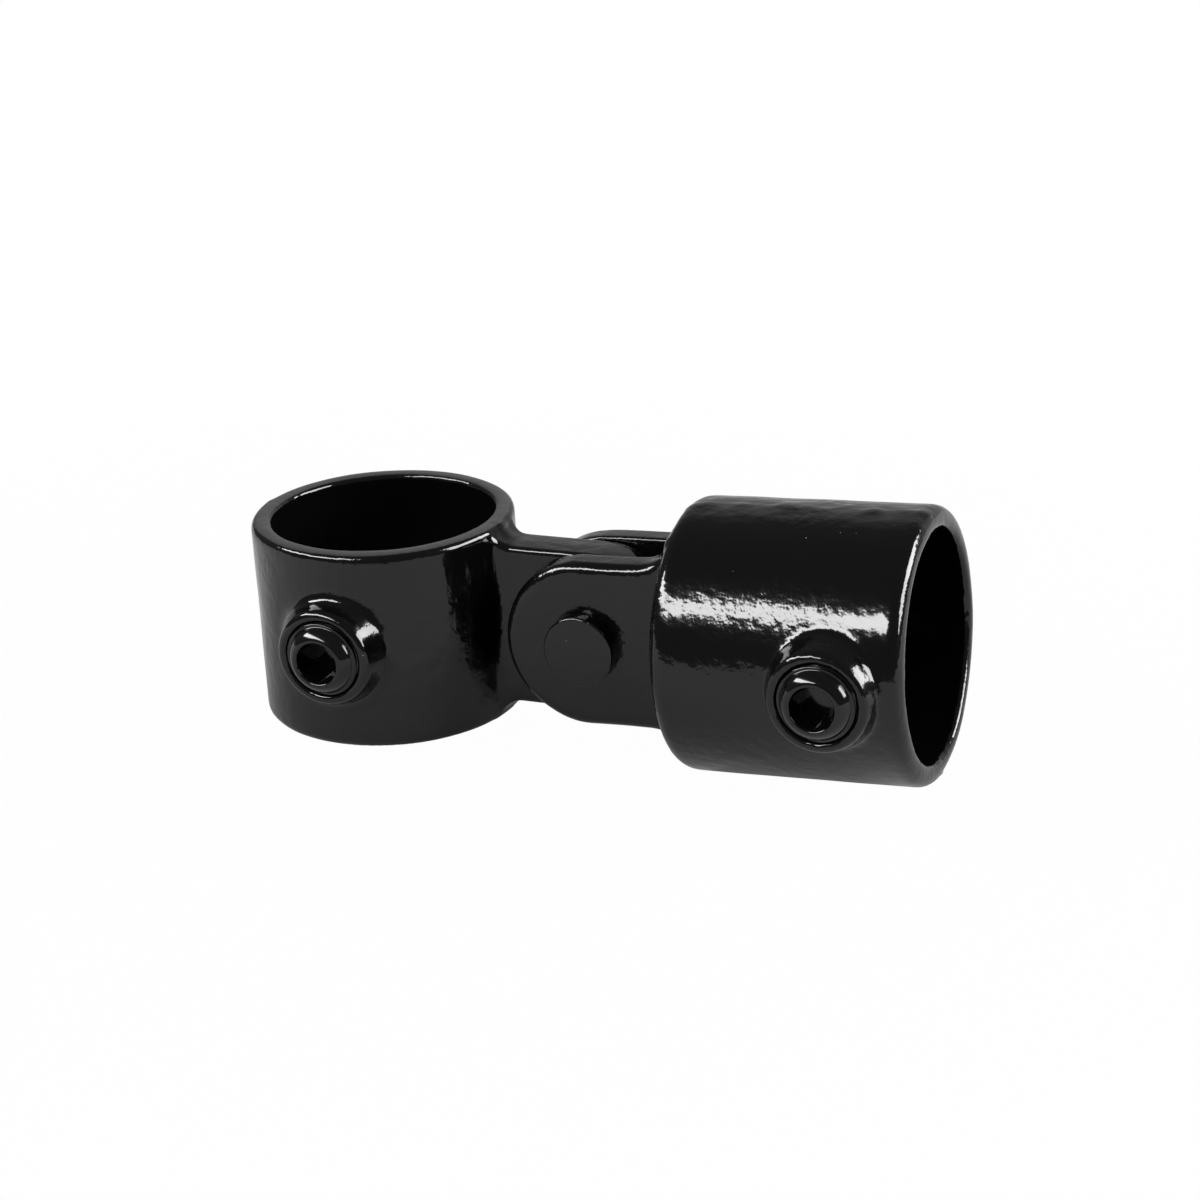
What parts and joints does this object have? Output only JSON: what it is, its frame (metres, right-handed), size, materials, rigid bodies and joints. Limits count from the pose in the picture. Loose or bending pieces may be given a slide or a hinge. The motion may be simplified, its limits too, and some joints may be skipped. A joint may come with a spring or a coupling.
{
  "type": "swivel key clamp",
  "caption": "Cast tube fitting: a through collar and a blind socket joined by a riveted tongue-and-fork swivel, each locked on its tube by a socket-head set screw in a boss.",
  "frame": {"origin": "centre of the collar's bore at half its height", "axes": "+Z along the collar's bore, +X from the collar towards the socket, and -Y the side that the set screws face"},
  "size_m": [0.159, 0.067, 0.0617],
  "materials": {
    "powder_coat": "gloss",
    "blackened_steel": "gloss"
  },
  "bodies": {
    "collar": {"collar_casting": "powder_coat"},
    "socket": {"socket_casting": "powder_coat", "pivot_rivet": "powder_coat"},
    "collar_screw": {"collar_set_screw": "blackened_steel"},
    "socket_screw": {"socket_set_screw": "blackened_steel"}
  },
  "joints": [
    {"name": "swivel", "type": "hinge", "parent": "collar", "child": "socket", "pos_m": [0.0525, 0, 0], "axis": [0, -1, 0], "range_deg": [-88, 83]},
    {"name": "collar_screw_drive", "type": "slide", "parent": "collar", "child": "collar_screw", "axis": [0, 1, 0], "range_m": [-0.006, 0.002]},
    {"name": "socket_screw_drive", "type": "slide", "parent": "socket", "child": "socket_screw", "axis": [0, 1, 0], "range_m": [-0.006, 0.002]}
  ]
}
